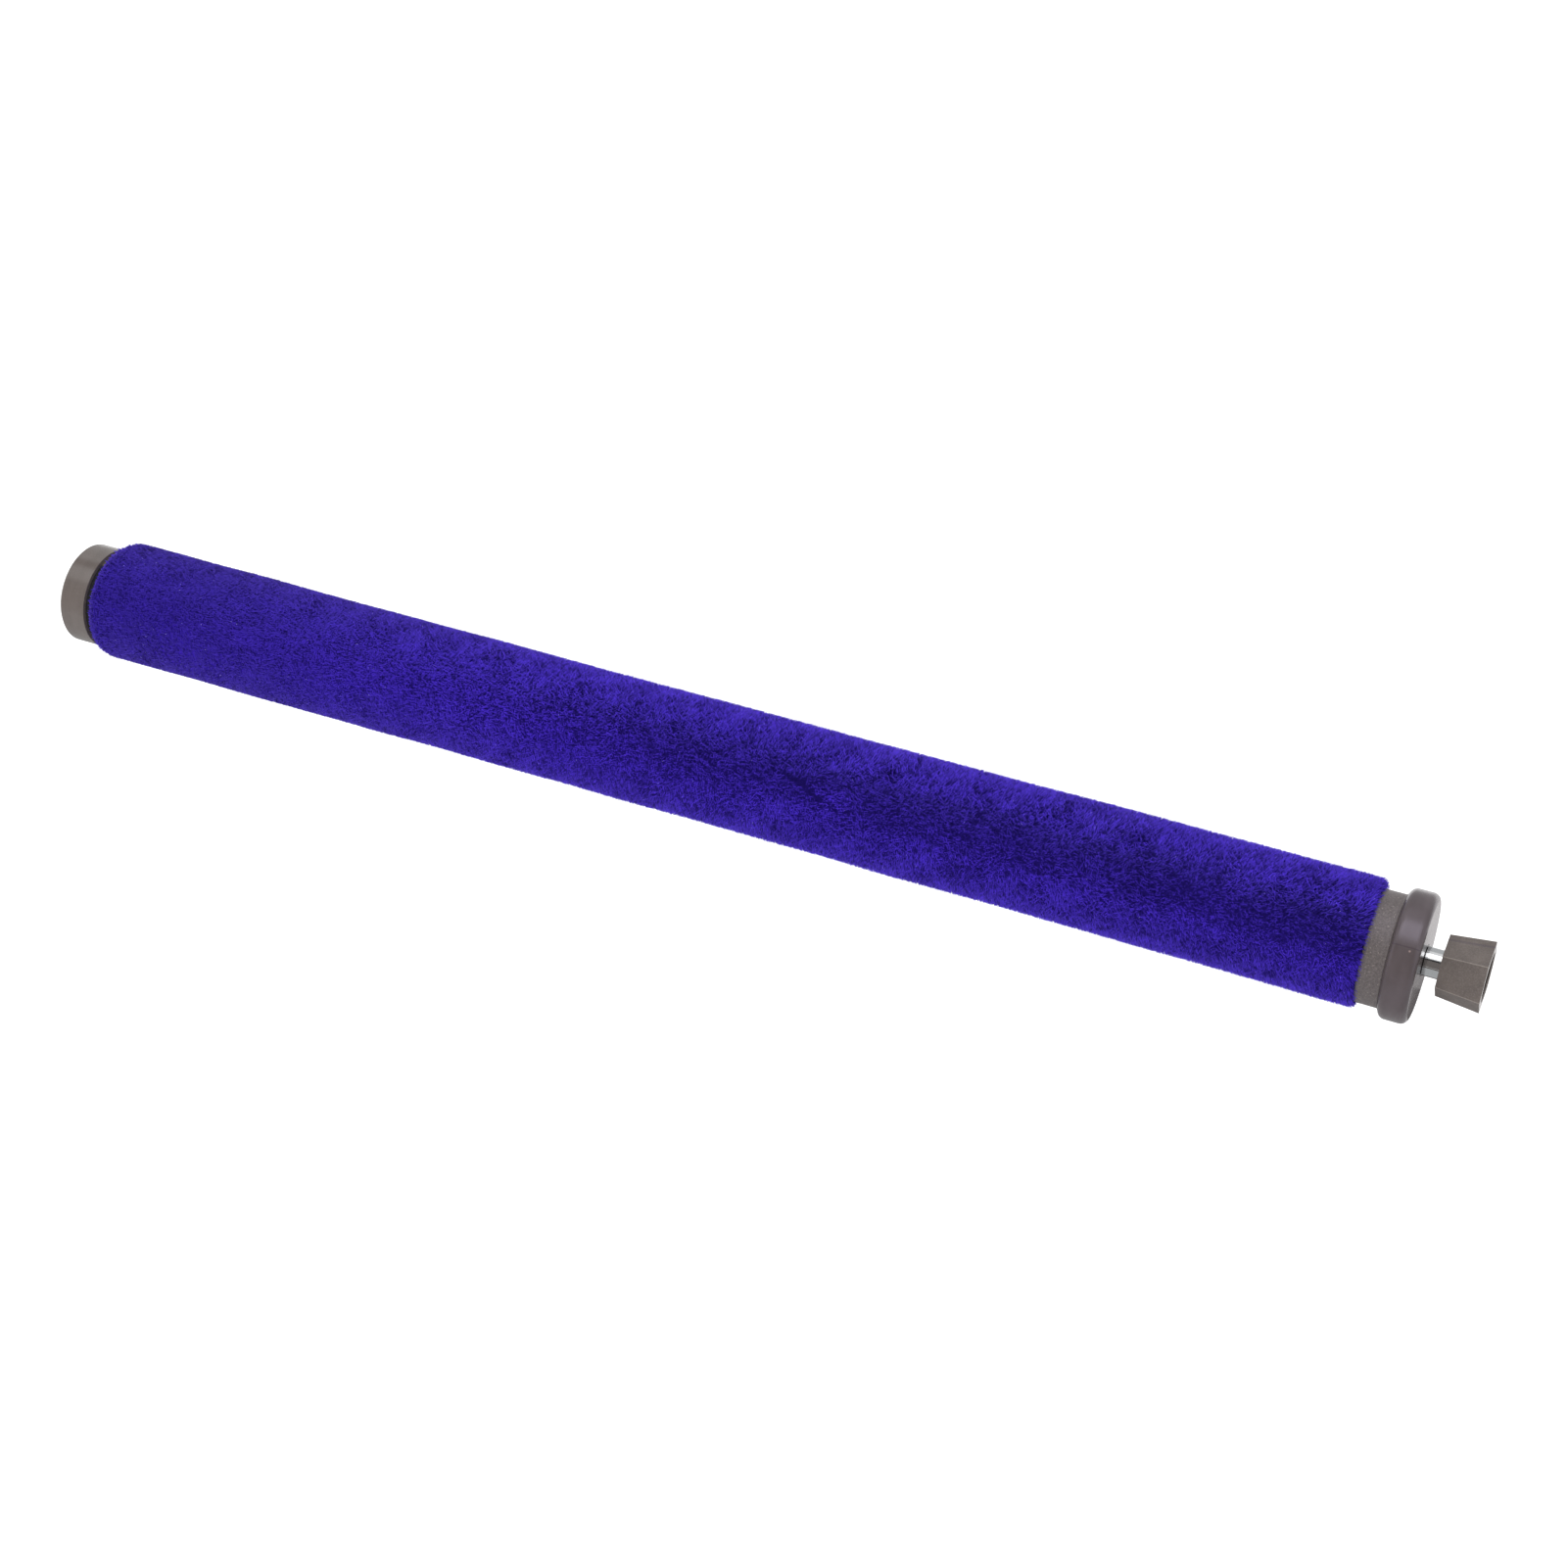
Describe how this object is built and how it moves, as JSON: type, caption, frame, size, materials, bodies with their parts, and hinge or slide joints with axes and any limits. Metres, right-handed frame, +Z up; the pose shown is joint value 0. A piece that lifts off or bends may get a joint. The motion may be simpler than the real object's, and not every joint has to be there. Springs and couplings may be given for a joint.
{
  "type": "vacuum cleaner soft roller",
  "caption": "Slim soft roller for a vacuum cleaner head, with plush pile, a splined drive socket and a hexagonal seat on a ball-bearing stub axle.",
  "frame": {"origin": "centre of the drive socket's mouth, in the plane of the drive face", "axes": "+X along the roller towards the hexagonal end, +Z up"},
  "size_m": [0.2473, 0.02, 0.02],
  "materials": {
    "pile": "dense short plush pile, deep violet blue",
    "tube_plastic": "black moulded tube",
    "collar_plastic": "smooth satin taupe moulding",
    "coupling_plastic": "black acetal, lightly worn",
    "cap_plastic": "taupe moulding, spark-eroded neck and satin flange",
    "bearing_steel": "ground bearing steel",
    "cage_brass": "pressed brass",
    "spring_steel": "blackened spring steel",
    "axle_steel": "polished steel",
    "hex_plastic": "finely textured taupe moulding"
  },
  "bodies": {
    "axle": {"axle_shaft": "axle_steel", "axle_clip": "spring_steel", "hex_end": "hex_plastic", "front_bearing_inner_race": "bearing_steel", "rear_bearing_inner_race": "bearing_steel", "inner_race_spacer": "bearing_steel"},
    "roller": {"pile_sleeve": "pile", "core_tube": "tube_plastic", "drive_end_cap": "collar_plastic", "drive_coupling": "coupling_plastic", "bearing_end_cap": "cap_plastic", "front_bearing_outer_race": "bearing_steel", "front_bearing_shields": "bearing_steel", "rear_bearing_outer_race": "bearing_steel", "rear_bearing_shields": "bearing_steel", "outer_race_spacer": "bearing_steel", "wave_washer": "spring_steel", "bearing_circlip": "spring_steel"},
    "front_ball_set": {"front_bearing_balls": "bearing_steel", "front_bearing_cage": "cage_brass"},
    "rear_ball_set": {"rear_bearing_balls": "bearing_steel", "rear_bearing_cage": "cage_brass"}
  },
  "joints": [
    {"name": "roller_spin", "type": "hinge", "parent": "axle", "child": "roller", "pos_m": [0.234, 0, 0], "axis": [1, 0, 0], "continuous": true},
    {"name": "front_ball_spin", "type": "hinge", "parent": "axle", "child": "front_ball_set", "pos_m": [0.234, 0, 0], "axis": [1, 0, 0], "continuous": true},
    {"name": "rear_ball_spin", "type": "hinge", "parent": "axle", "child": "rear_ball_set", "pos_m": [0.222, 0, 0], "axis": [1, 0, 0], "continuous": true}
  ],
  "couplings": [
    {"joint": "front_ball_spin", "follows": "roller_spin", "ratio": 0.63333},
    {"joint": "rear_ball_spin", "follows": "roller_spin", "ratio": 0.63333}
  ]
}
